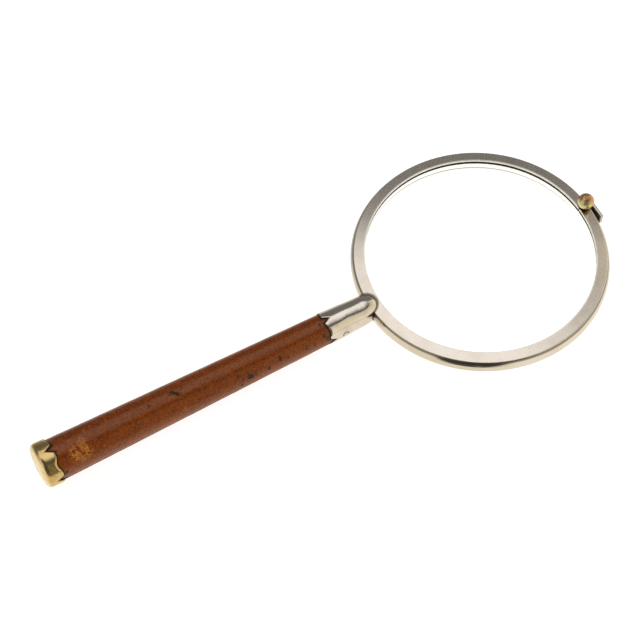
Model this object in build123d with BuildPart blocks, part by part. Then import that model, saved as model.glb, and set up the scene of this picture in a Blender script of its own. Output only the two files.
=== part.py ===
"""Hand lens: a leather-covered tapered handle, a forked ferrule and a split ring round a biconvex glass.

Frame: origin at the centre of the flat butt of the end cap, +X along the handle to the lens,
+Z along the lens axis, towards the ball knob of the ring clamp. Millimetres.
"""
from build123d import *
import math
import os

os.makedirs("parts", exist_ok=True)

# ---------------------------------------------------------------- driving dimensions
RING_X = 191.5            # butt face to lens axis
RING_Y = -2.24            # the ring sits this far beside the handle axis, as on a slightly bent tang
RING_R = 51.0             # outermost radius of the ring, at its mid-plane
EYE_R = 45.5              # radius of the opening in the ring
RING_HALF = 3.95          # half thickness of the ring at the opening
FACE_R = 49.9             # radius where the brushed face turns down into the polished flank
FACE_HALF = 3.1           # half thickness there

GROOVE_R = 46.9           # floor radius of the groove inside the ring
GROOVE_HALF = 2.9         # half height of that groove
LENS_R = 46.4             # edge radius of the glass
LENS_SURFACE_R = 340.0    # spherical radius of both glass faces
LENS_HALF = 4.5           # half thickness of the glass at its centre

CLOSURE_DEG = -1.6        # direction of the ring's split, seen from the lens axis
SPLIT = 0.5               # width of the split
SCREW_R = 48.4            # distance of the clamp screw from the lens axis
SEAT_HALF = 3.0           # height of the flats that washer and bracket sit on
STUD_R = 0.8              # clamp screw shank
BALL_R = 3.3              # ball knob

GRIP_START_X = 1.3        # leather and core start inside the cap
GRIP_END_X = 125.4        # leather and core end inside the ferrule
GRIP_R_BUTT = 8.25        # leather outside radius at its start
GRIP_R_HEAD = 6.02        # leather outside radius at its end
LEATHER = 1.1             # leather thickness
SEAM_DEG = 107.0          # seam direction, from +Z towards -Y
SEAM = 0.25               # width of the open seam

CAP_R = 8.9               # end cap outside radius
CAP_LENGTH = 7.05         # butt to the tips of the scalloped edge
FERRULE_X = 121.6         # tips of the ferrule's scalloped edge
FERRULE_R = 6.55          # ferrule outside radius there
NECK_X = 139.5            # where the ferrule's cone turns into its domed end
NECK_R = 5.75             # ferrule outside radius there
DOME = 6.3                # length of the domed end

GLUE = 0.03               # room left between fixed pieces
RUN = 0.05                # running clearance of the clamp screw

# ---------------------------------------------------------------- shared geometry
RING_AXIS = Axis((RING_X, RING_Y, 0), (0, 0, 1))
# Upright plane through the lens axis: local x is world X, local y is world Z.
RING_SECTION = Plane.XZ.offset(-RING_Y)
closure_angle = math.radians(CLOSURE_DEG)
# Closure plane: local x is the radius through the split, local y the tangent, z the lens axis.
CLOSURE = Plane(
    origin=(RING_X, RING_Y, 0),
    x_dir=(math.cos(closure_angle), math.sin(closure_angle), 0),
    z_dir=(0, 0, 1),
)


def grip_radius(x):
    """Outside radius of the leather at a distance x from the butt."""
    along = (x - GRIP_START_X) / (GRIP_END_X - GRIP_START_X)
    return GRIP_R_BUTT + along * (GRIP_R_HEAD - GRIP_R_BUTT)


def lens_height(r):
    """Half thickness of the glass at the radius r."""
    return LENS_HALF - (LENS_SURFACE_R - math.sqrt(LENS_SURFACE_R**2 - r**2))


def ring_section(room=0.0):
    """Solid section of the ring without its groove, grown outward by room."""
    inner, outer = RING_X + EYE_R - room, RING_X + RING_R + room
    edge, face = RING_HALF + room, FACE_HALF + room
    shoulder = RING_X + FACE_R + room
    face_mid = ((inner + shoulder) / 2, (edge + face) / 2 + 0.09)
    flank_mid = ((shoulder + outer) / 2 + 0.25, face / 2 + 0.18)
    with BuildSketch(RING_SECTION) as section:
        with BuildLine():
            ThreePointArc((inner, edge), face_mid, (shoulder, face))
            ThreePointArc((shoulder, face), flank_mid, (outer, 0))
            ThreePointArc((outer, 0), (flank_mid[0], -flank_mid[1]), (shoulder, -face))
            ThreePointArc((shoulder, -face), (face_mid[0], -face_mid[1]), (inner, -edge))
            Line((inner, -edge), (inner, edge))
        make_face()
    return section.sketch


def radial_plane(angle_deg):
    """Plane through the handle axis that faces outward; angle from +Z towards -Y."""
    angle = math.radians(angle_deg)
    return Plane(origin=(0, 0, 0), x_dir=(1, 0, 0), z_dir=(0, -math.sin(angle), math.cos(angle)))


def scallop_edge(edge_x, inward, radius, notch, scoop):
    """Cuts four straight-sided V notches, and a shallow scoop between each two of them."""
    lip = notch * math.tan(math.radians(28))
    half_span = radius * math.sin(math.radians(31))
    scoop_r = (half_span**2 + scoop**2) / (2 * scoop)
    apex_x = edge_x + inward * notch
    outside_x = edge_x - inward
    for quarter in range(4):
        with BuildSketch(radial_plane(90 * quarter)) as vee:
            with BuildLine():
                Polyline(
                    (apex_x, 0),
                    (edge_x, lip),
                    (outside_x, lip),
                    (outside_x, -lip),
                    (edge_x, -lip),
                    close=True,
                )
            make_face()
        extrude(vee.sketch, amount=2 * radius, mode=Mode.SUBTRACT)
        with BuildSketch(radial_plane(90 * quarter + 45)) as shallow:
            with Locations((edge_x + inward * (scoop - scoop_r), 0)):
                Circle(scoop_r)
        extrude(shallow.sketch, amount=2 * radius, mode=Mode.SUBTRACT)


# ---------------------------------------------------------------- handle
butt_land_r = 4.5         # flat land in the middle of the slightly domed butt
shoulder_x = 1.3          # where the domed butt meets the cap's side
cap_floor_x = GRIP_START_X - GLUE
cap_bore_r = GRIP_R_BUTT + GLUE

with BuildPart() as end_cap:
    with BuildSketch(Plane.XZ):
        with BuildLine():
            Line((0, 0), (0, butt_land_r))
            ThreePointArc((0, butt_land_r), (0.33, 6.6), (0.85, CAP_R - 0.45))
            ThreePointArc((0.85, CAP_R - 0.45), (1.0, CAP_R - 0.12), (shoulder_x, CAP_R))
            Polyline(
                (shoulder_x, CAP_R),
                (CAP_LENGTH, CAP_R),
                (CAP_LENGTH, cap_bore_r),
                (cap_floor_x, cap_bore_r),
                (cap_floor_x, 0),
                (0, 0),
            )
        make_face()
    revolve(axis=Axis.X)
    scallop_edge(CAP_LENGTH, -1, CAP_R, notch=3.0, scoop=1.05)
end_cap.part.label = "end_cap"

with BuildPart() as leather_sleeve:
    with BuildSketch(Plane.XZ):
        with BuildLine():
            Polyline(
                (GRIP_START_X, GRIP_R_BUTT - LEATHER),
                (GRIP_START_X, GRIP_R_BUTT),
                (GRIP_END_X, GRIP_R_HEAD),
                (GRIP_END_X, GRIP_R_HEAD - LEATHER),
                close=True,
            )
        make_face()
    revolve(axis=Axis.X)
    # The leather is one wrapped piece: its two long edges meet along an open seam.
    seam_middle = (GRIP_START_X + GRIP_END_X) / 2
    with BuildSketch(radial_plane(SEAM_DEG)):
        with Locations((seam_middle, 0)):
            Rectangle(GRIP_END_X - GRIP_START_X + 2, SEAM)
    extrude(amount=2 * GRIP_R_BUTT, mode=Mode.SUBTRACT)
leather_sleeve.part.label = "leather_sleeve"

spike_tip_x = 84.0        # end of the tang's spike inside the core
spike_tip_r = 1.0
spike_root_r = 1.9
collar_x = GRIP_END_X + 0.2
collar_r = 2.9            # round collar of the tang inside the ferrule

with BuildPart() as core:
    with BuildSketch(Plane.XZ):
        with BuildLine():
            Polyline(
                (GRIP_START_X, 0),
                (GRIP_START_X, GRIP_R_BUTT - LEATHER - GLUE),
                (GRIP_END_X, GRIP_R_HEAD - LEATHER - GLUE),
                (GRIP_END_X, spike_root_r + GLUE),
                (spike_tip_x - 1, spike_tip_r + GLUE),
                (spike_tip_x - 1, 0),
                close=True,
            )
        make_face()
    revolve(axis=Axis.X)
core.part.label = "core"

# ---------------------------------------------------------------- ferrule and tang
pin_x = 128.2             # cross pin through ferrule and tang
pin_r = 1.05
saddle_x = 142.6          # the tang's foot wraps the flank of the ring as far as here

with BuildPart() as tang:
    with BuildSketch(Plane.XZ):
        with BuildLine():
            Polyline(
                (spike_tip_x, 0),
                (spike_tip_x, spike_tip_r),
                (collar_x, spike_root_r),
                (collar_x, collar_r),
                (saddle_x, collar_r),
                (saddle_x, 0),
                close=True,
            )
        make_face()
    revolve(axis=Axis.X)
    with Locations(Location((pin_x, 0, 0), (90, 0, 0))):
        Cylinder(pin_r + GLUE, 3 * collar_r, mode=Mode.SUBTRACT)
    revolve(ring_section(), axis=RING_AXIS, mode=Mode.SUBTRACT)
tang.part.label = "tang"

with BuildPart() as ferrule:
    with BuildSketch(Plane.XZ):
        with BuildLine():
            Line((FERRULE_X, FERRULE_R - 0.32), (FERRULE_X, FERRULE_R))
            Line((FERRULE_X, FERRULE_R), (NECK_X, NECK_R))
            EllipticalCenterArc((NECK_X, 0), DOME, NECK_R, start_angle=0, arc_size=90)
            Polyline(
                (NECK_X + DOME, 0),
                (saddle_x, 0),
                (saddle_x, collar_r + GLUE),
                (collar_x, collar_r + GLUE),
                (collar_x, FERRULE_R - 0.32),
                (FERRULE_X, FERRULE_R - 0.32),
            )
        make_face()
    revolve(axis=Axis.X)
    scallop_edge(FERRULE_X, 1, FERRULE_R, notch=2.7, scoop=0.7)
    # Slot across the domed end, the shape of the ring that lies in it.
    revolve(ring_section(GLUE), axis=RING_AXIS, mode=Mode.SUBTRACT)
    with Locations(Location((pin_x, 0, 0), (90, 0, 0))):
        Cylinder(pin_r + GLUE, 3 * FERRULE_R, mode=Mode.SUBTRACT)
ferrule.part.label = "ferrule"

pin_half = 6.36           # half length: the pin's ends stand a hair proud of the ferrule

with BuildPart() as tang_pin:
    with Locations(Location((pin_x, 0, 0), (90, 0, 0))):
        Cylinder(pin_r, 2 * pin_half)
    fillet(tang_pin.edges().filter_by(GeomType.CIRCLE), 0.25)
tang_pin.part.label = "tang_pin"

# ---------------------------------------------------------------- ring, glass and packing
peg_t = 4.0               # pegs of the clamp bracket, either side of the split
peg_r = 0.6
peg_top = -1.0
bracket_half = 6.2        # half length of the clamp bracket along the tangent
bracket_outer = 53.5
bracket_wall = 1.5
bracket_corner = 1.6      # radius of its lower ends

with BuildPart() as ring:
    revolve(ring_section(), axis=RING_AXIS)
    with BuildSketch(RING_SECTION):
        with Locations((RING_X + (EYE_R - 2 + GROOVE_R) / 2, 0)):
            Rectangle(GROOVE_R - EYE_R + 2, 2 * GROOVE_HALF)
    revolve(axis=RING_AXIS, mode=Mode.SUBTRACT)
    # Split, screw hole and the flat for the washer.
    with BuildSketch(CLOSURE.offset(-2 * RING_HALF)):
        with Locations((SCREW_R, 0)):
            Rectangle(10, SPLIT)
            Circle(STUD_R + 2 * RUN)
    extrude(amount=4 * RING_HALF, mode=Mode.SUBTRACT)
    with BuildSketch(CLOSURE.offset(SEAT_HALF)):
        with Locations((SCREW_R, 0)):
            Circle(2.1)
    extrude(amount=RING_HALF, mode=Mode.SUBTRACT)
    # Underside let in for the bracket, with a blind hole for each of its pegs.
    with BuildSketch(CLOSURE.offset(-SEAT_HALF)):
        with Locations((SCREW_R, 0)):
            Rectangle(10, 2 * (bracket_half + RUN))
    extrude(amount=-RING_HALF, mode=Mode.SUBTRACT)
    with BuildSketch(CLOSURE.offset(-RING_HALF)):
        with Locations((SCREW_R, peg_t), (SCREW_R, -peg_t)):
            Circle(peg_r + GLUE)
    extrude(amount=RING_HALF + peg_top + GLUE, mode=Mode.SUBTRACT)
ring.part.label = "ring"

with BuildPart() as lens:
    with BuildSketch(RING_SECTION):
        with BuildLine():
            edge_height = lens_height(LENS_R)
            half_r = LENS_R / 2
            half_height = lens_height(half_r)
            rim_x = RING_X + LENS_R
            ThreePointArc((RING_X, LENS_HALF), (RING_X + half_r, half_height), (rim_x, edge_height))
            Line((rim_x, edge_height), (rim_x, -edge_height))
            ThreePointArc((rim_x, -edge_height), (RING_X + half_r, -half_height), (RING_X, -LENS_HALF))
            Line((RING_X, -LENS_HALF), (RING_X, LENS_HALF))
        make_face()
    revolve(axis=RING_AXIS)
lens.part.label = "lens"

liner_inner = EYE_R + 0.1
liner_outer = GROOVE_R - GLUE
liner_half = GROOVE_HALF - GLUE

with BuildPart() as lens_liner:
    with BuildSketch(RING_SECTION):
        with BuildLine():
            pocket_lip = lens_height(liner_inner) + GLUE
            pocket_floor = RING_X + LENS_R + GLUE
            Polyline(
                (RING_X + liner_inner, liner_half),
                (RING_X + liner_outer, liner_half),
                (RING_X + liner_outer, -liner_half),
                (RING_X + liner_inner, -liner_half),
                (RING_X + liner_inner, -pocket_lip),
                (pocket_floor, -pocket_lip),
                (pocket_floor, pocket_lip),
                (RING_X + liner_inner, pocket_lip),
                close=True,
            )
        make_face()
    revolve(axis=RING_AXIS)
    with BuildSketch(CLOSURE.offset(-RING_HALF)):
        with Locations((SCREW_R - 2, 0)):
            Rectangle(10, SPLIT)
    extrude(amount=2 * RING_HALF, mode=Mode.SUBTRACT)
lens_liner.part.label = "lens_liner"

# ---------------------------------------------------------------- clamp of the ring
flange = 1.0              # thickness of the bracket's flange under the ring
boss = 1.0                # boss that lengthens the thread below the flange
flange_inner = 45.8
wall_top = 1.5
flange_low = -(SEAT_HALF + flange)
thread_low = flange_low - boss
# View of the bracket along the radius: local x is the tangent, local y the lens axis.
bracket_side = Plane(origin=CLOSURE.origin, x_dir=CLOSURE.y_dir, z_dir=CLOSURE.x_dir)

with BuildPart() as clamp_bracket:
    with BuildSketch(CLOSURE.offset(flange_low)):
        with Locations(((flange_inner + bracket_outer) / 2, 0)):
            RectangleRounded(bracket_outer - flange_inner, 2 * bracket_half, 0.5)
    extrude(amount=flange)
    with BuildSketch(CLOSURE.offset(flange_low + flange)):
        with Locations((bracket_outer - bracket_wall / 2, 0)):
            RectangleRounded(bracket_wall, 2 * bracket_half, 0.5)
    extrude(amount=wall_top + SEAT_HALF)
    with BuildSketch(bracket_side) as side_view:
        with Locations((0, (flange_low + wall_top) / 2)):
            Rectangle(2 * bracket_half, wall_top - flange_low)
        fillet(side_view.vertices().group_by(Axis.Y)[0], bracket_corner)
    extrude(amount=2 * bracket_outer, mode=Mode.INTERSECT)
    with BuildSketch(CLOSURE.offset(thread_low)):
        with Locations((SCREW_R, 0)):
            Circle(1.9)
    extrude(amount=boss)
    with BuildSketch(CLOSURE.offset(thread_low - 1)):
        with Locations((SCREW_R, 0)):
            Circle(STUD_R + RUN)
        with Locations((SCREW_R, peg_t), (SCREW_R, -peg_t)):
            Circle(peg_r)
    extrude(amount=flange + boss + 2, mode=Mode.SUBTRACT)
    fillet(clamp_bracket.faces().sort_by(Axis.Z)[-1].edges(), 0.45)
clamp_bracket.part.label = "clamp_bracket"

with BuildPart() as bracket_pegs:
    with BuildSketch(CLOSURE.offset(flange_low)):
        with Locations((SCREW_R, peg_t), (SCREW_R, -peg_t)):
            Circle(peg_r)
    extrude(amount=peg_top - flange_low)
bracket_pegs.part.label = "bracket_pegs"

washer_top = SEAT_HALF + 0.5

with BuildPart() as captive_washer:
    with BuildSketch(CLOSURE.offset(SEAT_HALF)):
        with Locations((SCREW_R, 0)):
            Circle(1.9)
            Circle(STUD_R + RUN, mode=Mode.SUBTRACT)
    extrude(amount=washer_top - SEAT_HALF)
captive_washer.part.label = "captive_washer"

neck_r = 1.5
neck_height = 0.4
ball_height = washer_top + neck_height + math.sqrt(BALL_R**2 - neck_r**2)
stud_top = ball_height - 0.5

with BuildPart() as ball_knob:
    with BuildSketch(CLOSURE.offset(washer_top)):
        with Locations((SCREW_R, 0)):
            Circle(neck_r)
    extrude(amount=neck_height + 0.5)
    with Locations(CLOSURE * Location((SCREW_R, 0, ball_height))):
        Sphere(BALL_R)
    with BuildSketch(CLOSURE.offset(washer_top)):
        with Locations((SCREW_R, 0)):
            Circle(STUD_R)
    extrude(amount=stud_top - washer_top, mode=Mode.SUBTRACT)
ball_knob.part.label = "ball_knob"

with BuildPart() as clamp_stud:
    with BuildSketch(CLOSURE.offset(thread_low)):
        with Locations((SCREW_R, 0)):
            Circle(STUD_R)
    extrude(amount=stud_top - thread_low)
    chamfer(clamp_stud.edges().group_by(Axis.Z)[0], 0.2)
clamp_stud.part.label = "clamp_stud"

# ---------------------------------------------------------------- files
pieces = [
    end_cap, leather_sleeve, core, tang, ferrule, tang_pin, ring, lens, lens_liner,
    clamp_bracket, bracket_pegs, captive_washer, ball_knob, clamp_stud,
]
for piece in pieces:
    export_step(piece.part, f"parts/{piece.part.label}.step")
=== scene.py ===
"""Looks of the hand lens: a leather grip, a scalloped brass cap, a forked white-metal ferrule,
a split ring with a clear glass, and the ball-headed clamp that closes the ring.

Metres, in the CAD frame: +X runs along the handle to the lens, +Z is the lens axis.
"""
import bpy
import math
from mathutils import Matrix, Vector, noise

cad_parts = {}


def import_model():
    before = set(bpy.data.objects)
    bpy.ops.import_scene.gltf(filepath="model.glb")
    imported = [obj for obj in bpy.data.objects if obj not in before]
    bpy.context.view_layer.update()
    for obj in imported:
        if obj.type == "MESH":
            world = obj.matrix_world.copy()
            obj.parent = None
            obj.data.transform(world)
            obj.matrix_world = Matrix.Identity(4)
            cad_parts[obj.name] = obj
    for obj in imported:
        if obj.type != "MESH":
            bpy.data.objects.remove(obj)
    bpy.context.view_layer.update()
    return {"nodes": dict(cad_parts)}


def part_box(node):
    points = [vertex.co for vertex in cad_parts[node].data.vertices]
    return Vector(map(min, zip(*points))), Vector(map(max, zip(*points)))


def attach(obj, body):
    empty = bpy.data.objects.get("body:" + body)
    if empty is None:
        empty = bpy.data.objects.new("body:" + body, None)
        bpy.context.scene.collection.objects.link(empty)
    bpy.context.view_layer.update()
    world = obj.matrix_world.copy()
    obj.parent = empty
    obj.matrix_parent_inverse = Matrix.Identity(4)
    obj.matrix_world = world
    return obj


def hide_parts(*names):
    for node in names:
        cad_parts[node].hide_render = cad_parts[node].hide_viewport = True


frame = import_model()

MM = 0.001

# ---------------------------------------------------------------- places, from the frame
eye_low, eye_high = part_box("lens")
ring_low, ring_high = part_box("ring")
cap_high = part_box("end_cap")[1]
grip_low, grip_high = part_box("leather_sleeve")
ferrule_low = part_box("ferrule")[0]
knob_low, knob_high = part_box("ball_knob")
washer_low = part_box("captive_washer")[0]
bracket_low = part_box("clamp_bracket")[0]
pin_low, pin_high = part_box("tang_pin")

RING_X = (eye_low.x + eye_high.x) / 2                       # lens axis
RING_Y = (eye_low.y + eye_high.y) / 2
RING_R = (ring_high.y - ring_low.y) / 2
RING_HALF = ring_high.z
LENS_R = (eye_high.y - eye_low.y) / 2
LENS_HALF = eye_high.z
CAP_R = cap_high.z
CAP_TIP = cap_high.x
GRIP_START = grip_low.x
GRIP_END = grip_high.x
GRIP_R_BUTT = grip_high.z
FERRULE_TIP = ferrule_low.x
KNOB = (knob_low + knob_high) / 2                          # on the clamp screw's axis
KNOB_R = (knob_high.x - knob_low.x) / 2
CLOSURE_DEG = math.degrees(math.atan2(KNOB.y - RING_Y, KNOB.x - RING_X))
SCREW_R = math.hypot(KNOB.y - RING_Y, KNOB.x - RING_X)
SCREW_DIRECTION = ((KNOB.x - RING_X) / SCREW_R, (KNOB.y - RING_Y) / SCREW_R, 0.0)

# Sizes of the CAD parts that a box doesn't tell.
EYE_R = 45.5 * MM
FACE_R = 49.9 * MM
FACE_HALF = 3.1 * MM
GROOVE_R = 46.9 * MM
GROOVE_HALF = 2.9 * MM
SEAT_HALF = 3.0 * MM
LENS_SURFACE_R = 340 * MM
GRIP_R_HEAD = 6.02 * MM
LEATHER = 1.1 * MM
PIN_R = 1.05 * MM
SEAM_DEG = 107.0
FERRULE_R = 6.55 * MM
NECK_X = 139.5 * MM
NECK_R = 5.75 * MM
DOME = 6.3 * MM
DOME_POWER = 2.6                                            # 2 would be an ellipse
KNOCK_X, KNOCK_LENGTH = 131.5 * MM, 3.2 * MM         # a shallow flat on the ferrule's near side
KNOCK_DEG, KNOCK_SPREAD_DEG, KNOCK_DEPTH = 42.0, 19.0, 0.13 * MM
TANG_COLLAR_X = 125.6 * MM
TANG_COLLAR_R = 2.93 * MM
SADDLE_X = 142.6 * MM
BAR_RIDGE = 52.7 * MM                                       # middle of the bracket's bar

# The scalloped edges: depth of the notches, depth of the scoops, and how they meet.
CAP_NOTCH, CAP_SCOOP = 3.0 * MM, 1.05 * MM
FERRULE_NOTCH, FERRULE_SCOOP = 2.7 * MM, 0.7 * MM
NOTCH_SLOPE = math.tan(math.radians(31))
TIP_DEG = 20.0
# Beside the edge the metal is pressed down onto the leather by EDGE_DROP, over EDGE_REACH.
EDGE_DROP, EDGE_REACH = 0.13 * MM, 0.75 * MM
EDGE_COLUMNS, SKIRT_ROWS = 720, 22

# ---------------------------------------------------------------- mesh helpers


def smooth(mesh):
    """Shades a mesh smooth, with hard edges where faces meet at more than 40 degrees."""
    mesh.polygons.foreach_set("use_smooth", [True] * len(mesh.polygons))
    mesh.set_sharp_from_angle(angle=math.radians(40))


def new_piece(name, points, faces, body, slot, *replaced):
    """A mesh piece that rides on a body and stands for CAD nodes."""
    mesh = bpy.data.meshes.new(name)
    mesh.from_pydata(points, [], faces)
    mesh.validate()
    mesh.update()
    smooth(mesh)
    piece = bpy.data.objects.new(name, mesh)
    bpy.context.scene.collection.objects.link(piece)
    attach(piece, body)
    if replaced:
        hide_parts(*replaced)
    return piece


def rounded(corners, steps=5):
    """Points of an open outline whose corners (a, b, radius) are rounded by tangent arcs."""
    outline = []
    for index, (a, b, radius) in enumerate(corners):
        here = Vector((a, b))
        if radius == 0 or index in (0, len(corners) - 1):
            outline.append(here)
            continue
        back = Vector(corners[index - 1][:2]) - here
        ahead = Vector(corners[index + 1][:2]) - here
        half = back.angle(ahead) / 2
        reach = min(radius / math.tan(half), 0.49 * back.length, 0.49 * ahead.length)
        start = here + back.normalized() * reach
        end = here + ahead.normalized() * reach
        for step in range(steps + 1):
            t = step / steps
            outline.append(start.lerp(here, t).lerp(here.lerp(end, t), t))
    return outline


def skin(loops):
    """Points and quads between closed loops of equal length."""
    count = len(loops[0])
    points = [p for loop in loops for p in loop]
    faces = []
    for row in range(len(loops) - 1):
        low, high = row * count, (row + 1) * count
        for column in range(count):
            beside = (column + 1) % count
            faces.append((low + column, low + beside, high + beside, high + column))
    return points, faces


def around_x(x, r, angle_deg):
    """A point at the radius r round the handle axis; the angle runs from +Z towards -Y."""
    angle = math.radians(angle_deg)
    return Vector((x, -r * math.sin(angle), r * math.cos(angle)))


def around_lens(r, z, angle_deg):
    """A point at the radius r round the lens axis."""
    angle = math.radians(angle_deg)
    return Vector((RING_X + r * math.cos(angle), RING_Y + r * math.sin(angle), z))


def around_screw(r, z, angle_deg):
    """A point at the radius r round the clamp screw's axis."""
    angle = math.radians(angle_deg)
    return Vector((KNOB.x + r * math.cos(angle), KNOB.y + r * math.sin(angle), z))


def cut(piece, cutter):
    """Takes the cutter's volume out of the piece, and removes the cutter."""
    modifier = piece.modifiers.new("cut", "BOOLEAN")
    modifier.operation = "DIFFERENCE"
    modifier.solver = "EXACT"
    modifier.object = cutter
    bpy.context.view_layer.update()
    evaluated = piece.evaluated_get(bpy.context.evaluated_depsgraph_get())
    mesh = bpy.data.meshes.new_from_object(evaluated)
    piece.modifiers.clear()
    piece.data = mesh
    smooth(mesh)
    bpy.data.objects.remove(cutter)


def tool(points, faces):
    """A bare mesh object to cut with."""
    mesh = bpy.data.meshes.new("tool")
    mesh.from_pydata(points, [], faces)
    mesh.update()
    cutter = bpy.data.objects.new("tool", mesh)
    bpy.context.scene.collection.objects.link(cutter)
    return cutter


def closed_by_fans(loops):
    """Points and faces of a tube of loops with its two ends closed."""
    points, faces = skin(loops)
    count = len(loops[0])
    faces.append(tuple(reversed(range(count))))
    faces.append(tuple(range(len(points) - count, len(points))))
    return points, faces


def closed_to(loops, first, last):
    """Points and faces of a tube of loops, closed by fans to a first and a last point."""
    points, faces = skin(loops)
    count = len(loops[0])
    for base, order, middle in ((0, -1, first), (len(points) - count, 1, last)):
        points.append(middle)
        for column in range(count):
            pair = (base + column, base + (column + 1) % count)
            faces.append((*pair[::order], len(points) - 1))
    return points, faces


def closed_shell(loops):
    """Closes the first and the last loop of a shell by a fan to their middles."""
    first, last = (sum(loop, Vector()) / len(loop) for loop in (loops[0], loops[-1]))
    return closed_to(loops, first, last)


# ---------------------------------------------------------------- materials


class Graph:
    """A node tree, with short calls for the nodes it needs."""

    def __init__(self, tree, output="Object"):
        self.tree = tree
        self.place = self.node("ShaderNodeTexCoord").outputs[output]

    def node(self, kind, inputs=None, **settings):
        made = self.tree.nodes.new(kind)
        for key, value in settings.items():
            setattr(made, key, value)
        for key, value in (inputs or {}).items():
            self.feed(made.inputs[key], value)
        return made

    def feed(self, socket, value):
        if isinstance(value, bpy.types.NodeSocket):
            self.tree.links.new(value, socket)
        else:
            socket.default_value = value

    def math(self, operation, a, b=0.0, clamp=False):
        made = self.node("ShaderNodeMath", operation=operation, use_clamp=clamp)
        self.feed(made.inputs[0], a)
        self.feed(made.inputs[1], b)
        return made.outputs[0]

    def gap(self, a, b):
        """How far two numbers lie apart."""
        return self.math("ABSOLUTE", self.math("SUBTRACT", a, b))

    def sway(self, value, width):
        """A value from 0 to 1 as an offset to either side of 0."""
        return self.math("MULTIPLY", self.math("SUBTRACT", value, 0.5), width)

    def between(self, factor, a, b):
        """The number at the factor's share of the way from a to b."""
        return self.node("ShaderNodeMix", {0: factor, 2: a, 3: b}).outputs[0]

    def xyz(self, place=None):
        """The outputs X, Y and Z of a place."""
        return self.node("ShaderNodeSeparateXYZ", {0: place or self.place}).outputs

    def vector(self, operation, a, b=None):
        """The outputs of a vector operation: 0 is its vector and "Value" its number."""
        inputs = {0: a} if b is None else {0: a, 1: b}
        return self.node("ShaderNodeVectorMath", inputs, operation=operation).outputs

    def stretched(self, scale):
        made = self.node("ShaderNodeMapping", {"Vector": self.place, "Scale": scale})
        return made.outputs["Vector"]

    def noise(self, scale, detail=3.0, roughness=0.55, place=None, distortion=0.0):
        inputs = {"Scale": scale, "Detail": detail, "Roughness": roughness}
        inputs["Distortion"] = distortion
        inputs["Vector"] = place or self.place
        return self.node("ShaderNodeTexNoise", inputs).outputs["Fac"]

    def cells(self, scale):
        inputs = {"Scale": scale, "Vector": self.place}
        return self.node("ShaderNodeTexVoronoi", inputs).outputs["Distance"]

    def steps(self, value, low, high, out_low=0.0, out_high=1.0):
        """Smooth step from out_low to out_high as value goes from low to high."""
        inputs = {"From Min": low, "From Max": high, "To Min": out_low, "To Max": out_high}
        made = self.node("ShaderNodeMapRange", inputs, interpolation_type="SMOOTHSTEP")
        self.feed(made.inputs["Value"], value)
        return made.outputs["Result"]

    def blend(self, factor, a, b):
        """The colour at the factor's share of the way from a to b."""
        made = self.node("ShaderNodeMix", data_type="RGBA")
        self.feed(made.inputs[0], factor)
        self.feed(made.inputs[6], a)
        self.feed(made.inputs[7], b)
        return made.outputs[2]

    def near(self, point, reach, soft):
        """1 at the point, falling to 0 between reach - soft and reach."""
        distance = self.vector("DISTANCE", self.place, point)["Value"]
        return self.steps(distance, reach - soft, reach, 1.0, 0.0)

    def bump(self, height, strength, distance, under=None):
        inputs = {"Height": height, "Strength": strength, "Distance": distance}
        made = self.node("ShaderNodeBump", inputs)
        if under:
            self.tree.links.new(under, made.inputs["Normal"])
        return made.outputs["Normal"]

    def off_handle_axis(self, split):
        """The distance from the handle axis of a place that is split into X, Y and Z."""
        cross = self.node("ShaderNodeCombineXYZ", {"Y": split["Y"], "Z": split["Z"]}).outputs[0]
        return self.vector("LENGTH", cross)["Value"]

    def from_lens_axis(self):
        """The place measured from the lens axis, and the same without its height."""
        local = self.vector("SUBTRACT", self.place, (RING_X, RING_Y, 0.0))[0]
        return local, self.vector("MULTIPLY", local, (1.0, 1.0, 0.0))[0]

    def around_handle(self):
        """x, the angle from +Z towards -Y, and the place on the unrolled side: (x, arc, 0)."""
        split = self.xyz()
        turn = self.math("ARCTAN2", self.math("MULTIPLY", split["Y"], -1.0), split["Z"])
        arc = self.math("MULTIPLY", turn, self.off_handle_axis(split))
        unrolled = self.node("ShaderNodeCombineXYZ", {"X": split["X"], "Y": arc}).outputs[0]
        return split["X"], turn, unrolled

    def behind_tips(self, turn, radius, notch, scoop):
        """The depth of a scalloped edge, as scallop() gives it, at an angle round the handle."""
        beside = self.math("PINGPONG", self.math("ADD", turn, 2 * math.pi), math.pi / 4)
        lip = notch * NOTCH_SLOPE / radius
        vee = self.math("SUBTRACT", notch, self.math("MULTIPLY", beside, notch / lip))
        bowl = self.steps(beside, math.radians(TIP_DEG), math.pi / 4, 0.0, scoop)
        return self.math("MAXIMUM", vee, bowl)

    def past_ferrule(self):
        """1 on the surface of the ferrule's domed end, and more outside it."""
        split = self.xyz()
        along = self.math("SUBTRACT", split["X"], NECK_X - 2 * MM)
        along = self.math("DIVIDE", self.math("MAXIMUM", along, 0.0), DOME + 2 * MM)
        across = self.math("DIVIDE", self.off_handle_axis(split), NECK_R)
        powers = [self.math("POWER", share, DOME_POWER) for share in (along, across)]
        return self.math("ADD", *powers)

    def patch(self, place, middle, size, tilt_deg=0.0):
        """0 in the middle of an ellipse and 1 on its rim."""
        inputs = {"Vector": place, "Location": (*middle, 0.0), "Scale": (*size, 1.0)}
        inputs["Rotation"] = (0.0, 0.0, math.radians(tilt_deg))
        local = self.node("ShaderNodeMapping", inputs, vector_type="TEXTURE").outputs[0]
        return self.vector("LENGTH", local)["Value"]


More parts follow.
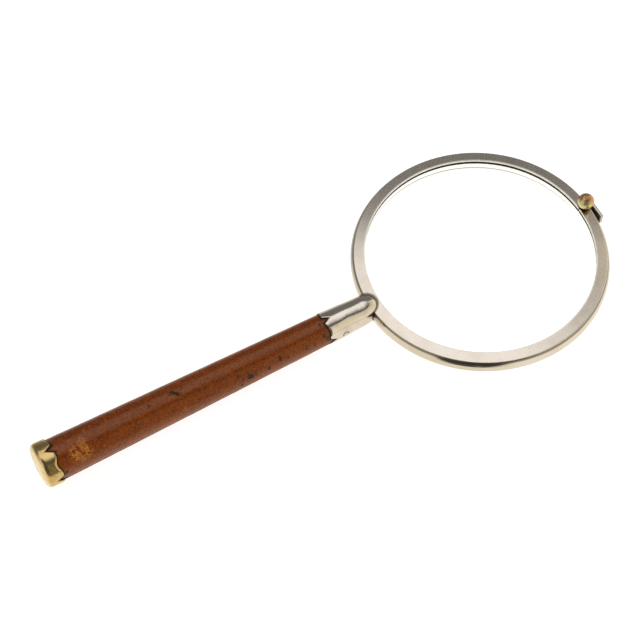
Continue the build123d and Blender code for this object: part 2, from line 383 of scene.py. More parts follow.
class Material(Graph):
    """A node material on one Principled shader."""

    def __init__(self, name, **base):
        self.data = bpy.data.materials.new(name)
        self.data.use_nodes = True
        super().__init__(self.data.node_tree)
        self.shader = self.tree.nodes["Principled BSDF"]
        self.output = self.tree.nodes["Material Output"]
        for key, value in base.items():
            self.shader.inputs[key.replace("_", " ")].default_value = value

    def finish(self, color=None, roughness=None, normal=None):
        for key, value in (("Base Color", color), ("Roughness", roughness), ("Normal", normal)):
            if value is not None:
                self.tree.links.new(value, self.shader.inputs[key])
        return self.data


def rgb(red, green, blue):
    """An sRGB colour, 0 to 255, as the linear colour that a socket takes."""
    linear = []
    for value in (red, green, blue):
        share = value / 255
        linear.append(share / 12.92 if share <= 0.04045 else ((share + 0.055) / 1.055) ** 2.4)
    return (*linear, 1.0)


# Dark stains in the leather: place along the handle in mm, angle from +Z towards -Y, half
# length along and half width round the handle in mm, tilt and strength.
STAINS = (
    (57.3, 7.0, 2.3, 0.75, 42, 1.0), (55.0, 3.0, 0.9, 0.3, 20, 0.7), (60.2, -3.0, 0.3, 1.1, 0, 0.5),
    (46.3, 9.0, 0.45, 0.7, 0, 0.8), (81.7, 47.0, 0.4, 0.9, 0, 0.8), (86.0, 55.0, 0.4, 1.4, 0, 0.8),
    (86.5, 66.0, 1.3, 1.2, 25, 1.0), (88.8, 64.0, 0.4, 1.0, 0, 0.8), (83.3, 67.0, 0.35, 0.6, 0, 0.8),
    (82.3, 84.0, 0.4, 0.8, 0, 0.9), (94.5, 72.0, 0.45, 0.9, 0, 0.9), (99.8, 57.0, 0.7, 1.1, 0, 0.85),
    (103.0, 65.0, 0.45, 0.6, 0, 0.8), (111.2, 66.0, 0.5, 0.9, 0, 0.7), (114.6, 68.0, 0.35, 0.6, 0, 0.7),
    (119.2, 50.0, 0.5, 1.2, 0, 0.8), (120.2, 70.0, 0.6, 1.1, 0, 0.7), (119.4, 9.0, 0.4, 0.8, 0, 0.8),
    (8.6, 75.0, 0.5, 0.6, 0, 0.9), (62.0, -24.0, 0.3, 0.7, 0, 0.6), (38.0, -17.0, 0.4, 0.8, 0, 0.5),
    (88.0, -22.0, 0.5, 1.2, 0, 0.4), (24.0, 46.0, 0.3, 0.5, 0, 0.5), (70.5, 30.0, 0.3, 0.5, 0, 0.4),
    (40.0, 150.0, 2.2, 0.9, 30, 0.8), (77.0, 170.0, 0.8, 0.5, 0, 0.7), (98.0, -120.0, 1.8, 0.7, 60, 0.8),
    (25.0, -150.0, 0.9, 0.9, 0, 0.7), (58.0, -95.0, 0.5, 1.3, 0, 0.6), (109.0, 140.0, 0.6, 0.8, 0, 0.7),
)

# Where the dyed surface has flaked off: the same measures, without a tilt.
SCUFFS = (
    (13.6, 38.0, 2.0, 3.6, 0.9), (17.7, 36.0, 2.2, 4.2, 1.0), (16.0, 45.0, 4.8, 3.2, 0.7),
    (16.5, 22.0, 0.9, 1.4, 0.7), (20.5, -8.0, 1.0, 0.9, 0.5), (23.3, -14.0, 0.5, 0.7, 0.5),
    (25.0, 54.0, 0.6, 0.8, 0.4), (14.0, 0.0, 1.2, 0.6, 0.3), (58.5, 66.0, 1.0, 0.8, 0.25),
)


def leather_material():
    """Orange-brown calf, waxed smooth, with a fine grain, ragged dark stains and a flaked scuff."""
    m = Material("cognac_leather", Specular_IOR_Level=0.5)
    m.shader.inputs["Specular Tint"].default_value = (1.0, 0.76, 0.56, 1.0)
    x, turn, unrolled = m.around_handle()
    cloud = m.steps(m.noise(70, 4.0, 0.6, m.stretched((0.4, 1.0, 1.0))), 0.3, 0.7)
    mottle = m.steps(m.noise(420, 5.0, 0.7), 0.3, 0.7)
    grain = m.noise(1900, 3.0, 0.65)
    color = m.blend(cloud, rgb(114, 44, 0), rgb(136, 60, 3))
    color = m.blend(m.math("MULTIPLY", mottle, 0.75), color, rgb(152, 71, 5))
    color = m.blend(m.steps(grain, 0.46, 0.64, 0.0, 1.0), color, rgb(82, 30, 0))
    color = m.blend(m.steps(m.noise(1100, 4.0, 0.7), 0.52, 0.68, 0.0, 0.5), color, rgb(178, 94, 18))
    # Pores and old dirt in the grain.
    pores = m.steps(m.noise(1500, 2.0, 0.6, None, 0.5), 0.62, 0.7)
    color = m.blend(m.math("MULTIPLY", pores, 0.7), color, rgb(52, 18, 4))
    ragged = m.steps(m.noise(1500, 4.0, 0.75), 0.3, 0.7, -0.55, 0.55)
    stained = None
    for x_mm, angle_deg, along, across, tilt_deg, strength in STAINS:
        arc = math.radians(angle_deg) * grip_radius(x_mm * MM)
        rim = m.patch(unrolled, (x_mm * MM, arc), (along * MM, across * MM), tilt_deg)
        spot = m.steps(m.math("ADD", rim, ragged), 0.75, 1.3, strength, 0.0)
        stained = spot if stained is None else m.math("MAXIMUM", stained, spot)
    color = m.blend(m.math("MULTIPLY", stained, 0.95), color, rgb(26, 18, 10))
    vein = m.gap(m.noise(640, 4.0, 0.7, None, 0.6), 0.5)
    flakes = m.steps(vein, 0.012, 0.055, 1.0, 0.0)
    wear_and_highlight = None
    for x_mm, angle_deg, along, across, strength in SCUFFS:
        arc = math.radians(angle_deg) * grip_radius(x_mm * MM)
        rim = m.patch(unrolled, (x_mm * MM, arc), (along * MM, across * MM))
        spot = m.steps(m.math("ADD", rim, m.math("MULTIPLY", ragged, 0.6)), 0.5, 1.2, strength, 0.0)
        wear_and_highlight = spot if wear_and_highlight is None else m.math("MAXIMUM", wear_and_highlight, spot)
    color = m.blend(m.math("MULTIPLY", wear_and_highlight, flakes), color, rgb(226, 146, 62))
    # Painted shade, with some grime, darkens the leather along the scalloped edges of the metal.
    cap_edge = m.math("SUBTRACT", CAP_TIP, m.behind_tips(turn, CAP_R, CAP_NOTCH, CAP_SCOOP))
    ferrule_edge = m.math(
        "ADD", FERRULE_TIP, m.behind_tips(turn, FERRULE_R, FERRULE_NOTCH, FERRULE_SCOOP))
    past_cap = m.math("SUBTRACT", x, cap_edge)
    past_ferrule = m.math("SUBTRACT", ferrule_edge, x)
    nearest = m.math("MINIMUM", past_cap, past_ferrule)
    beside = m.math("PINGPONG", m.math("ADD", turn, 2 * math.pi), math.pi / 4)
    in_notch = m.steps(beside, math.radians(9), math.radians(17), 0.35, 1.0)
    nearest = m.math("ADD", m.math("MULTIPLY", nearest, in_notch), m.math("MULTIPLY", ragged, 0.0002))
    # Painted shade and grime: near-black within about 1 mm of the metal's edge, wider in the notches.
    edge_shade_and_grime = m.steps(nearest, 0.3 * MM, 1.0 * MM, 0.97, 0.0)
    color = m.blend(edge_shade_and_grime, color, rgb(20, 10, 5))
    roughness = m.steps(m.noise(300, 4.0), 0.3, 0.7, 0.20, 0.30)
    dull = m.math("MAXIMUM", m.math("MULTIPLY", wear_and_highlight, 0.4), m.math("MAXIMUM", edge_shade_and_grime, stained))
    roughness = m.math("ADD", roughness, m.math("MULTIPLY", dull, 0.4))
    normal = m.bump(m.cells(2400), 0.14, 0.05 * MM)
    normal = m.bump(m.noise(1400, 4.0, 0.65), 0.20, 0.06 * MM, normal)
    normal = m.bump(m.noise(330, 3.0, 0.6), 0.10, 0.25 * MM, normal)
    return m.finish(color, roughness, normal)


def brass_material():
    """Old brass, rubbed pale on the butt, where a bright reflection is also painted in."""
    m = Material("aged_brass", Metallic=1.0, Specular_IOR_Level=0.5)
    patches = m.steps(m.noise(210, 5.0, 0.62, None, 0.3), 0.42, 0.72)
    color = m.blend(m.math("MULTIPLY", patches, 0.6), rgb(208, 180, 124), rgb(132, 116, 58))
    # Rubbed wear and painted highlight: the butt and its rim are paler and brighter.
    rubbed_and_lit = m.math("ADD", m.xyz()["X"], m.sway(patches, 0.5 * MM))
    color = m.blend(m.steps(rubbed_and_lit, 0.7 * MM, 1.7 * MM, 0.75, 0.0), color, rgb(236, 216, 170))
    amber = m.steps(m.noise(330, 4.0, 0.6), 0.52, 0.68, 0.0, 0.55)
    color = m.blend(amber, color, rgb(206, 160, 84))
    spots = m.steps(m.noise(1700, 2.0, 0.5), 0.67, 0.75)
    color = m.blend(m.math("MULTIPLY", spots, 0.4), color, rgb(96, 80, 40))
    lines = m.noise(260, 2.0, 0.5, m.stretched((1.0, 14.0, 14.0)))
    rough = m.steps(m.math("ADD", m.math("MULTIPLY", patches, 0.4), lines), 0.4, 1.1, 0.16, 0.32)
    normal = m.bump(m.noise(300, 2.0), 0.16, 0.35 * MM)
    normal = m.bump(lines, 0.10, 0.03 * MM, normal)
    return m.finish(color, rough, normal)


def metal_material(name, bright, tarnish, roughness, wear, pin=None):
    """Old polished metal: tarnish in patches, fine scratches and slightly uneven reflections.

    pin is the middle of a cross pin, whose joint line holds dirt.
    """
    m = Material(name, Metallic=1.0, Specular_IOR_Level=0.5)
    patches = m.steps(m.noise(210, 5.0, 0.62, None, 0.3), 0.4, 0.72)
    color = m.blend(m.math("MULTIPLY", patches, wear), bright, tarnish)
    spots = m.steps(m.noise(1700, 2.0, 0.5), 0.67, 0.75)
    color = m.blend(m.math("MULTIPLY", spots, 0.5 * wear), color, tarnish)
    if pin:
        flat = m.vector("MULTIPLY", m.place, (1, 0, 1))[0]
        off_line = m.gap(m.vector("DISTANCE", flat, (pin.x, 0, pin.z))["Value"], PIN_R)
        color = m.blend(m.steps(off_line, 0.18 * MM, 0.42 * MM, 0.95, 0.0), color, rgb(58, 50, 30))
    scratch_low = m.noise(260, 2.0, 0.5, m.stretched((1.0, 14.0, 14.0)))
    scratch_high = m.noise(260, 2.0, 0.5, m.stretched((12.0, 2.0, 9.0)))
    lines = m.math("MAXIMUM", scratch_low, scratch_high)
    low, high = roughness
    rough = m.steps(m.math("ADD", m.math("MULTIPLY", patches, 0.4), lines), 0.4, 1.1, low, high)
    normal = m.bump(m.noise(300, 2.0), 0.16, 0.35 * MM)
    normal = m.bump(lines, 0.10, 0.03 * MM, normal)
    return m.finish(color, rough, normal)


def bracket_material():
    """White metal, with a painted highlight along the ridge of the bar and grey beside it."""
    m = Material("nickel_silver_bar", Metallic=0.75, Specular_IOR_Level=0.4)
    flat = m.from_lens_axis()[1]
    # Painted highlight: the strip along the middle of the bar is brighter and smoother.
    off_ridge = m.gap(m.vector("DOT_PRODUCT", flat, SCREW_DIRECTION)["Value"], BAR_RIDGE)
    wander = m.sway(m.noise(900, 3.0), 0.3 * MM)
    wear_and_highlight = m.steps(m.math("ADD", off_ridge, wander), 0.22 * MM, 0.5 * MM, 1.0, 0.0)
    color = m.blend(wear_and_highlight, rgb(128, 116, 100), rgb(214, 206, 194))
    spots = m.steps(m.noise(1600, 3.0, 0.6), 0.55, 0.7, 0.0, 0.5)
    color = m.blend(spots, color, rgb(96, 82, 62))
    rough = m.steps(wear_and_highlight, 0.0, 1.0, 0.5, 0.2)
    return m.finish(color, rough, m.bump(m.noise(700, 3.0), 0.2, 0.1 * MM))


def knob_material():
    """Brass with a painted reflection: coppery on the lens side and away, yellow-green towards the
    handle, and painted shade underneath.
    """
    m = Material("red_brass", Metallic=1.0, Specular_IOR_Level=0.5)
    local = m.vector("SUBTRACT", m.place, (KNOB.x, KNOB.y, knob_high.z - KNOB_R))[0]
    # Painted reflection: the colour turns from yellow-green to coppery along one direction across the
    # ball.
    coppery_side = (0.78, 0.45, 0.30)
    lean = m.vector("DOT_PRODUCT", local, coppery_side)["Value"]
    wander = m.sway(m.noise(420, 4.0, 0.6), 3.2 * MM)
    coppery_reflection = m.steps(m.math("ADD", lean, wander), -2.4 * MM, 0.6 * MM)
    color = m.blend(coppery_reflection, rgb(216, 200, 144), rgb(208, 166, 122))
    rosy = m.steps(m.noise(700, 3.0, 0.6), 0.5, 0.7, 0.0, 0.5)
    color = m.blend(m.math("MULTIPLY", rosy, coppery_reflection), color, rgb(206, 152, 112))
    # Old plier marks across the top of the ball, filled with dirt.
    vein = m.gap(m.noise(560, 3.0, 0.65, None, 0.8), 0.5)
    gripped = (KNOB.x - 0.8 * MM, KNOB.y - 0.9 * MM, knob_high.z - 0.8 * MM)
    on_top = m.near(gripped, 2.3 * MM, 1.0 * MM)
    marks = m.math("MULTIPLY", m.steps(vein, 0.012, 0.05, 1.0, 0.0), on_top)
    color = m.blend(m.math("MULTIPLY", marks, 0.9), color, rgb(64, 46, 22))
    # Painted shade: the underside, near the ring, is dark.
    under = m.steps(m.xyz(local)["Z"], -0.62 * KNOB_R, -0.30 * KNOB_R, 0.85, 0.0)
    color = m.blend(under, color, rgb(84, 62, 34))
    rough = m.steps(m.noise(500, 3.0), 0.3, 0.7, 0.26, 0.38)
    normal = m.bump(m.math("SUBTRACT", 1.0, marks), 0.5, 0.10 * MM)
    normal = m.bump(m.noise(600, 3.0), 0.25, 0.25 * MM, normal)
    return m.finish(color, rough, normal)


def brushed_ring_material():
    """White metal, turned on a lathe: fine lines round the lens axis on the face, polish on the flank."""
    m = Material("nickel_silver_brushed", Metallic=1.0, Specular_IOR_Level=0.5)
    local, flat = m.from_lens_axis()
    radius = m.vector("LENGTH", flat)["Value"]
    toward = m.xyz(m.vector("NORMALIZE", flat)[0])
    # The lines change fast along the radius and slowly round the ring.
    slow = 0.06
    wrapped = m.node("ShaderNodeCombineXYZ", {
        "X": m.math("MULTIPLY", toward["X"], slow),
        "Y": m.math("MULTIPLY", toward["Y"], slow),
        "Z": m.math("ADD", radius, m.xyz(local)["Z"]),
    }).outputs[0]
    lines = m.noise(5200, 3.0, 0.6, wrapped)
    fine = m.noise(1400, 4.0, 0.7, wrapped)
    on_face = m.steps(radius, FACE_R - 0.1 * MM, FACE_R + 0.5 * MM, 1.0, 0.0)
    inner_edge = m.steps(radius, EYE_R + 0.2 * MM, EYE_R + 0.4 * MM)
    on_face = m.math("MULTIPLY", on_face, inner_edge)
    cloud = m.steps(m.noise(120, 4.0, 0.6), 0.38, 0.7)
    color = m.blend(m.math("MULTIPLY", cloud, 0.5), rgb(226, 218, 208), rgb(206, 196, 182))
    color = m.blend(m.math("MULTIPLY", m.steps(lines, 0.35, 0.75), 0.20), color, rgb(168, 156, 142))
    # The flank is tarnished where the thumb reaches it, beside the ferrule.
    beside_ferrule = (152 * MM, -36 * MM, 0.0)
    thumb = m.near(beside_ferrule, 36 * MM, 30 * MM)
    thumb = m.math("MULTIPLY", thumb, m.math("SUBTRACT", 1.0, on_face))
    color = m.blend(m.math("MULTIPLY", thumb, 0.5), color, rgb(200, 190, 166))
    # Darker along the shoulder; painted shade in the crease at the ferrule and round the foot of the
    # screw.
    ragged = m.sway(fine, 0.25)
    shoulder = m.steps(m.gap(radius, FACE_R + 0.25 * MM), 0.12 * MM, 0.34 * MM, 0.7, 0.0)
    ferrule_crease_shade = m.steps(m.math("ADD", m.past_ferrule(), ragged), 1.12, 1.42, 0.85, 0.0)
    screw_foot_shade = m.near((KNOB.x, KNOB.y, washer_low.z + 0.4 * MM), 2.9 * MM, 0.9 * MM)
    painted_shade_and_shoulder_line = m.math("MAXIMUM", ferrule_crease_shade, m.math("MULTIPLY", screw_foot_shade, 0.9))
    painted_shade_and_shoulder_line = m.math("MAXIMUM", painted_shade_and_shoulder_line, shoulder)
    color = m.blend(painted_shade_and_shoulder_line, color, rgb(62, 50, 32))
    rough_face = m.steps(lines, 0.3, 0.7, 0.20, 0.32)
    rough_flank = m.steps(cloud, 0.0, 1.0, 0.06, 0.12)
    rough = m.between(on_face, rough_flank, rough_face)
    depth = m.math("MULTIPLY", m.math("ADD", lines, fine), on_face)
    normal = m.bump(depth, 0.25, 0.03 * MM)
    dents = m.steps(m.noise(900, 2.0, 0.5), 0.72, 0.8)
    normal = m.bump(m.math("SUBTRACT", 1.0, dents), 0.3, 0.08 * MM, normal)
    return m.finish(color, rough, normal)


def wood_material():
    """Pale turned wood with the grain along the handle."""
    m = Material("beech", Specular_IOR_Level=0.4)
    grain = m.noise(900, 4.0, 0.6, m.stretched((0.05, 1.0, 1.0)), 0.6)
    fibre = m.noise(3000, 3.0, 0.6, m.stretched((0.03, 1.0, 1.0)))
    color = m.blend(m.steps(grain, 0.3, 0.7), rgb(150, 104, 62), rgb(190, 148, 98))
    color = m.blend(m.math("MULTIPLY", m.steps(fibre, 0.5, 0.7), 0.4), color, rgb(110, 70, 38))
    normal = m.bump(fibre, 0.3, 0.05 * MM)
    return m.finish(color, m.steps(grain, 0.2, 0.8, 0.5, 0.7), normal)


def card_material():
    """Card of the packing strip: black with old polish above the glass, as painted shade of the
    groove; painted pale where glass covers it.

    The pale part glows a little: painted light that stands for the light the glass carries to its edge.
    """
    m = Material("packing_card", Specular_IOR_Level=0.25)
    fibre = m.noise(2600, 4.0, 0.7)
    groove_shade = m.blend(m.steps(fibre, 0.35, 0.7), rgb(22, 20, 17), rgb(52, 47, 40))
    pale = m.blend(m.steps(fibre, 0.35, 0.7), rgb(226, 222, 210), rgb(240, 236, 226))
    # Above the glass the card is black for painted shade; below, pale and glowing for painted light.
    bare = m.steps(m.xyz()["Z"], 1.2 * MM, 1.4 * MM)
    m.shader.inputs["Emission Color"].default_value = (1.0, 0.98, 0.93, 1.0)
    glow = m.math("MULTIPLY", m.math("SUBTRACT", 1.0, bare), 0.5)
    m.tree.links.new(glow, m.shader.inputs["Emission Strength"])
    color = m.blend(bare, pale, groove_shade)
    return m.finish(color, m.steps(fibre, 0.3, 0.7, 0.75, 0.9), m.bump(fibre, 0.3, 0.05 * MM))


def glass_material():
    """Clear crown glass with faint smears, which casts hardly any shadow."""
    m = Material("lens_glass", Transmission_Weight=1.0, IOR=1.5)
    m.shader.inputs["Base Color"].default_value = (0.985, 0.995, 0.99, 1.0)
    smear = m.noise(60, 4.0, 0.65, m.stretched((1.0, 0.4, 1.0)), 0.8)
    rough = m.steps(smear, 0.55, 0.85, 0.0, 0.03)
    m.tree.links.new(rough, m.shader.inputs["Roughness"])
    through = m.node("ShaderNodeBsdfTransparent", {"Color": (0.96, 0.975, 0.965, 1.0)})
    path = m.node("ShaderNodeLightPath")
    mixed = m.node("ShaderNodeMixShader", {0: path.outputs["Is Shadow Ray"]})
    m.tree.links.new(m.shader.outputs[0], mixed.inputs[1])
    m.tree.links.new(through.outputs[0], mixed.inputs[2])
    # Light caught between the two faces ends as a pale glow instead of black.
    caught = m.math("GREATER_THAN", path.outputs["Ray Depth"], 2.5)
    pale = m.node("ShaderNodeEmission", {"Color": (0.78, 0.81, 0.79, 1.0)})
    whole = m.node("ShaderNodeMixShader", {0: caught})
    m.tree.links.new(mixed.outputs[0], whole.inputs[1])
    m.tree.links.new(pale.outputs[0], whole.inputs[2])
    m.tree.links.new(whole.outputs[0], m.output.inputs["Surface"])
    return m.data


# ---------------------------------------------------------------- pieces of the handle


def grip_radius(x):
    """Outside radius of the leather."""
    return GRIP_R_BUTT + (x - GRIP_START) / (GRIP_END - GRIP_START) * (GRIP_R_HEAD - GRIP_R_BUTT)


def leather_sleeve(material):
    """One wrapped piece of leather whose edges are turned in along an open seam."""
    rows, columns = 200, 160
    loops = []
    for row in range(rows + 1):
        x = GRIP_START + (GRIP_END - GRIP_START) * row / rows
        outside, inside = [], []
        inner_r = grip_radius(x) - LEATHER
        for column in range(columns + 1):
            # Columns crowd towards the seam, where the surface turns.
            t = column / columns
            eased = t + math.sin(2 * math.pi * t) / (2 * math.pi) * -0.72
            gap_deg = math.degrees(0.09 * MM / grip_radius(x))
            angle = SEAM_DEG + gap_deg + eased * (360 - 2 * gap_deg)
            from_seam = min(eased, 1 - eased) * 2 * math.pi * grip_radius(x)
            turned_in = 0.30 * MM * math.exp(-((from_seam / (0.28 * MM)) ** 2))
            ridge = 0.07 * MM * math.exp(-(((from_seam - 1.0 * MM) / (0.5 * MM)) ** 2))
            place = around_x(x, grip_radius(x), angle)
            uneven = 0.05 * MM * noise.noise(place * 160) + 0.02 * MM * noise.noise(place * 700)
            r = grip_radius(x) + 0.03 * MM - turned_in + ridge + uneven
            outside.append(around_x(x, r, angle))
            inside.append(around_x(x, inner_r, angle))
        loops.append(outside + inside[::-1])
    points, faces = closed_by_fans(loops)
    # Each end is a ring of quads between the outer and the inner edge, not one wide face.
    del faces[-2:]
    width = 2 * (columns + 1)
    for base in (0, rows * width):
        for column in range(columns):
            mate = width - 1 - column
            quad = (base + column, base + column + 1, base + mate - 1, base + mate)
            faces.append(quad if base else quad[::-1])
    piece = new_piece("leather", points, faces, "frame", "cognac_leather", "leather_sleeve")
    piece.data.materials.append(material)


def scallop(angle_deg, radius, notch, scoop):
    """How far the scalloped edge lies behind its tips: four V notches, with a scoop between them."""
    beside = abs((angle_deg + 45) % 90 - 45)
    lip_deg = math.degrees(notch * NOTCH_SLOPE / radius)
    vee = notch * (1 - beside / lip_deg)
    across = max(0.0, beside - TIP_DEG) / (45 - TIP_DEG)
    bowl = scoop * (1 - math.cos(math.pi * across)) / 2
    # A smooth maximum rounds the tips of the lobes.
    soft = 0.16 * MM
    return soft * math.log(math.exp(vee / soft) + math.exp(bowl / soft))


def scalloped_shell(outer, edge_x, edge_r, bore_r, inner, toward, notch, scoop):
    """Loops round the handle axis for a shell with a scalloped edge.

    outer and inner are outlines of (x, r); their ends at the skirt follow the edge. toward is the
    direction of the edge along X, and the last outline point before the edge stays fixed.
    """
    root_x, root_r = outer[-1]
    loops = []
    angles = [360 * column / EDGE_COLUMNS for column in range(EDGE_COLUMNS)]
    for x, r in outer:
        loops.append([around_x(x, r, angle) for angle in angles])
    lip = 0.07 * MM
    behind = [scallop(angle, edge_r, notch, scoop) for angle in angles]
    # Rows crowd towards the edge, where the metal is pressed down onto the leather.
    for row in range(1, SKIRT_ROWS + 1):
        t = 1 - (1 - row / SKIRT_ROWS) ** 1.8
        loop = []
        for angle, depth in zip(angles, behind):
            x = root_x + t * (edge_x - toward * (depth + lip) - root_x)
            share = (x - root_x) / (edge_x - root_x)
            from_edge = (1 - t) * abs(edge_x - toward * (depth + lip) - root_x)
            pressed = EDGE_DROP * max(0.0, 1 - from_edge / EDGE_REACH) ** 2
            loop.append(around_x(x, root_r + share * (edge_r - root_r) - pressed, angle))
        loops.append(loop)
    edge_r -= EDGE_DROP
    rim = ((0.3, edge_r - 0.3 * lip), (0.0, edge_r), (0.0, bore_r), (0.3, bore_r + 0.3 * lip))
    for back, r in rim:
        loop = []
        for angle, depth in zip(angles, behind):
            loop.append(around_x(edge_x - toward * (depth + back * lip), r, angle))
        loops.append(loop)
    inner_x = inner[0][0]
    for row in range(1, 5):
        t = row / 5
        loop = []
        for angle, depth in zip(angles, behind):
            start = edge_x - toward * (depth + lip)
            loop.append(around_x(start + t * (inner_x - start), bore_r, angle))
        loops.append(loop)
    for x, r in inner:
        loops.append([around_x(x, r, angle) for angle in angles])
    return loops


def end_cap(material):
    """Thin brass cap with a domed butt, a rounded rim and a scalloped edge over the leather."""
    outer = rounded([
        (0.0, 0.05 * MM, 0),
        (0.0, 4.5 * MM, 8 * MM),
        (0.55 * MM, CAP_R - 1.3 * MM, 3 * MM),
        (1.25 * MM, CAP_R - 0.3 * MM, 1.2 * MM),
        (2.3 * MM, CAP_R, 2 * MM),
        (3.0 * MM, CAP_R, 0),
    ])
    bore = CAP_R - 0.42 * MM
    floor_x = 1.27 * MM
    inner = [(floor_x + 0.4 * MM, bore), (floor_x, bore - 0.4 * MM), (floor_x, 0.05 * MM)]
    loops = scalloped_shell(outer, CAP_TIP, CAP_R, bore, inner, 1, CAP_NOTCH, CAP_SCOOP)
    # Old knocks: the thin brass waves a little.
    for loop in loops:
        for point in loop:
            dent = 0.09 * MM * noise.noise(point * 150)
            radial = Vector((0, point.y, point.z))
            if radial.length > 3 * MM and point.x > 0.9 * MM:
                point -= radial.normalized() * max(0.0, dent)
    points, faces = closed_shell(loops)
    piece = new_piece("brass_cap", points, faces, "frame", "aged_brass", "end_cap")
    piece.data.materials.append(material)


def ring_outline(room=0.0, groove=True):
    """Closed section of the ring as (r, z), grown outward by room."""
    half, face = RING_HALF + room, FACE_HALF + room
    width = FACE_R - EYE_R
    slope = (face - half) / width

    def height(outward):
        """Height of the conical face at a distance outward from the opening."""
        return half + outward * slope

    top = rounded([
        (EYE_R - room, GROOVE_HALF, 0),
        (EYE_R - room, half - 0.02 * MM, 0.3 * MM),
        (EYE_R + 0.5 * MM, height(0.5 * MM), 0),
        (EYE_R + 0.7 * MM, height(0.7 * MM), 0),
        (FACE_R - 1.2 * MM, height(width - 1.2 * MM), 0),
        (FACE_R - 0.9 * MM, height(width - 0.9 * MM), 0),
        (FACE_R, face + 0.02 * MM, 0.7 * MM),
        (RING_R - 0.06 * MM + room, 1.1 * MM, 0.9 * MM),
        (RING_R + room, 0.0, 0),
    ], steps=7)
    section = top + [Vector((p.x, -p.y)) for p in top[-2::-1]]
    if groove:
        section += [Vector((GROOVE_R, -GROOVE_HALF)), Vector((GROOVE_R, GROOVE_HALF))]
    return section


def ring_piece(material):
    """The split ring: one section carried round the lens axis from one end to the other."""
    section = ring_outline()
    half_split = math.degrees(0.25 * MM / SCREW_R)
    count = 420
    loops = []
    for step in range(count + 1):
        angle = CLOSURE_DEG + half_split + (360 - 2 * half_split) * step / count
        loops.append([around_lens(p.x, p.y, angle) for p in section])
    points, faces = closed_by_fans([loop[::-1] for loop in loops])
    piece = new_piece("split_ring", points, faces, "frame", "nickel_silver_brushed", "ring")
    # The flat under the washer.
    seat_r, above, sides = 2.1 * MM, 6 * MM, 48
    cut(piece, tool(*closed_by_fans([
        [around_screw(seat_r, z, 360 * side / sides) for side in range(sides)]
        for z in (washer_low.z, above)
    ])))
    # The underside, let in for the bracket.
    inner, outer, half_width = 43 * MM, 54 * MM, 6.25 * MM
    corners = ((inner, -half_width), (outer, -half_width), (outer, half_width), (inner, half_width))
    clamp_turn = Matrix.Rotation(math.radians(CLOSURE_DEG), 4, "Z")
    cut(piece, tool(*closed_by_fans([
        [Vector((RING_X, RING_Y, z)) + clamp_turn @ Vector((r, t, 0)) for r, t in corners]
        for z in (-above, -SEAT_HALF)
    ])))
    piece.data.materials.clear()
    piece.data.materials.append(material)


def ferrule_piece(material):
    """Tapered ferrule, scalloped over the leather, with a domed end forked round the ring."""
    slope = (NECK_R - FERRULE_R) / (NECK_X - FERRULE_TIP)
    dome_start = NECK_X - 2 * MM
    dome_length = NECK_X + DOME - dome_start
    outer = []
    for step in range(41):
        share = math.sin(math.pi / 2 * (1 - step / 41) + 0.001)
        cone_r = FERRULE_R + slope * (dome_start + 0.6 * share * dome_length - FERRULE_TIP)
        r = cone_r * max(0.0, 1 - share**DOME_POWER) ** (1 / DOME_POWER)
        outer.append((dome_start + share * dome_length, max(r, 0.05 * MM)))
    cone_start = FERRULE_TIP + 3.4 * MM
    for step in range(1, 25):
        x = dome_start + (cone_start - dome_start) * step / 24
        outer.append((x, FERRULE_R + slope * (x - FERRULE_TIP)))
    bore = FERRULE_R - 0.32 * MM
    inner = [
        (TANG_COLLAR_X, bore),
        (TANG_COLLAR_X, TANG_COLLAR_R),
        (SADDLE_X, TANG_COLLAR_R),
        (SADDLE_X, 0.05 * MM),
    ]
    loops = scalloped_shell(
        outer, FERRULE_TIP, FERRULE_R, bore, inner, -1, FERRULE_NOTCH, FERRULE_SCOOP)
    for loop in loops:
        for point in loop:
            radial = Vector((0, point.y, point.z))
            if radial.length > 3.2 * MM:
                turn_deg = math.degrees(math.atan2(-point.y, point.z))
                reach = ((point.x - KNOCK_X) / KNOCK_LENGTH) ** 2
                reach += ((turn_deg - KNOCK_DEG) / KNOCK_SPREAD_DEG) ** 2
                point -= radial.normalized() * KNOCK_DEPTH * math.exp(-reach)
                wave = noise.noise(Vector((point.x * 150, point.y * 110, point.z * 110)))
                point -= radial.normalized() * 0.12 * MM * (wave + 0.35)
    points, faces = closed_shell([loop[::-1] for loop in loops])
    piece = new_piece(
        "forked_ferrule", points, faces, "frame", "nickel_silver_polished", "ferrule")
    slot = []
    for step in range(61):
        angle = 180 - 15 + 30 * step / 60
        slot.append([around_lens(p.x, p.y, angle) for p in ring_outline(0.04 * MM, False)][::-1])
    cut(piece, tool(*closed_by_fans(slot)))
    piece.data.materials.clear()
    piece.data.materials.append(material)


def lens_piece(material):
    """Biconvex glass with a ground bevel round its edge."""

    def height(r):
        """Half thickness of the glass at the radius r."""
        return LENS_HALF - (LENS_SURFACE_R - math.sqrt(LENS_SURFACE_R**2 - r * r))

    rings, columns = 40, 120
    profile = []
    for step in range(1, rings + 1):
        r = (LENS_R - 0.15 * MM) * math.sin(math.pi / 2 * step / rings)
        profile.append((r, height(r)))
    profile.append((LENS_R, height(LENS_R) - 0.12 * MM))
    profile += [(r, -z) for r, z in profile[::-1]]
    loops = [[around_lens(r, z, 360 / columns * k) for k in range(columns)] for r, z in profile]
    bottom, top = (Vector((RING_X, RING_Y, z)) for z in (-LENS_HALF, LENS_HALF))
    points, faces = closed_to(loops[::-1], bottom, top)
    piece = new_piece("biconvex_glass", points, faces, "frame", "lens_glass", "lens")
    piece.data.materials.append(material)


# ---------------------------------------------------------------- pieces of the clamp


